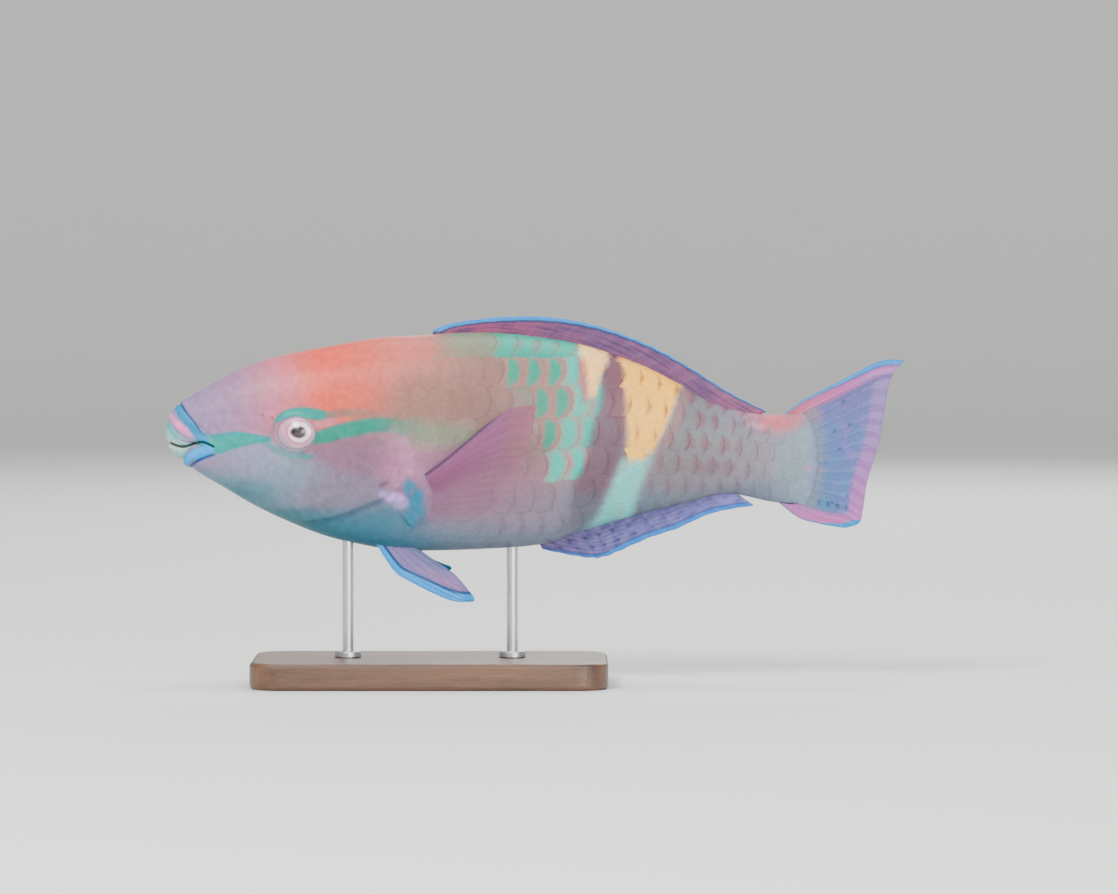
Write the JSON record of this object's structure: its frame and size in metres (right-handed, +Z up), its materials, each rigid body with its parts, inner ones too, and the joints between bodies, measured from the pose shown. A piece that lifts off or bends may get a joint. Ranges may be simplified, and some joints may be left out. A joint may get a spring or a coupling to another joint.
{
  "type": "parrotfish model on a display stand",
  "caption": "Life-size still model of an adult male yellowband parrotfish, swimming with fins spread, on a plain base and rods.",
  "frame": {"origin": "centre of the underside of the stand's base", "axes": "+X from the fish's snout towards its tail, +Z up, the fish's left flank faces -Y"},
  "size_m": [0.3328, 0.084, 0.1658],
  "materials": {
    "head_skin": "painted skin, lilac and salmon with teal bands, satin varnish",
    "body_skin": "painted skin and large scales, mauve with teal dashes and yellow patches, satin varnish",
    "beak": "tooth plate, pale blue-green, glossy",
    "eye": "pinkish iris and dark pupil under a clear dome",
    "dorsal_fin": "magenta membrane with a cyan edge, thin and slightly translucent",
    "anal_fin": "lilac membrane with a blue edge, thin and slightly translucent",
    "caudal_fin": "lilac-blue membrane with pink bands and cyan edges",
    "pectoral_fin": "clear magenta membrane, translucent",
    "pelvic_fin": "cyan leading edge and pale lilac membrane",
    "stand_wood": "dark walnut, satin oil",
    "stand_steel": "brushed round rod"
  },
  "bodies": {
    "root": {"head": "head_skin", "beak_upper": "beak", "beak_lower": "beak", "eye_left": "eye", "eye_right": "eye", "torso": "body_skin", "tail_peduncle": "body_skin", "dorsal_fin": "dorsal_fin", "anal_fin": "anal_fin", "caudal_fin": "caudal_fin", "pectoral_fin_left": "pectoral_fin", "pectoral_fin_right": "pectoral_fin", "pelvic_fin_left": "pelvic_fin", "pelvic_fin_right": "pelvic_fin", "stand_base": "stand_wood", "stand_rod_front": "stand_steel", "stand_rod_rear": "stand_steel"}
  },
  "joints": []
}
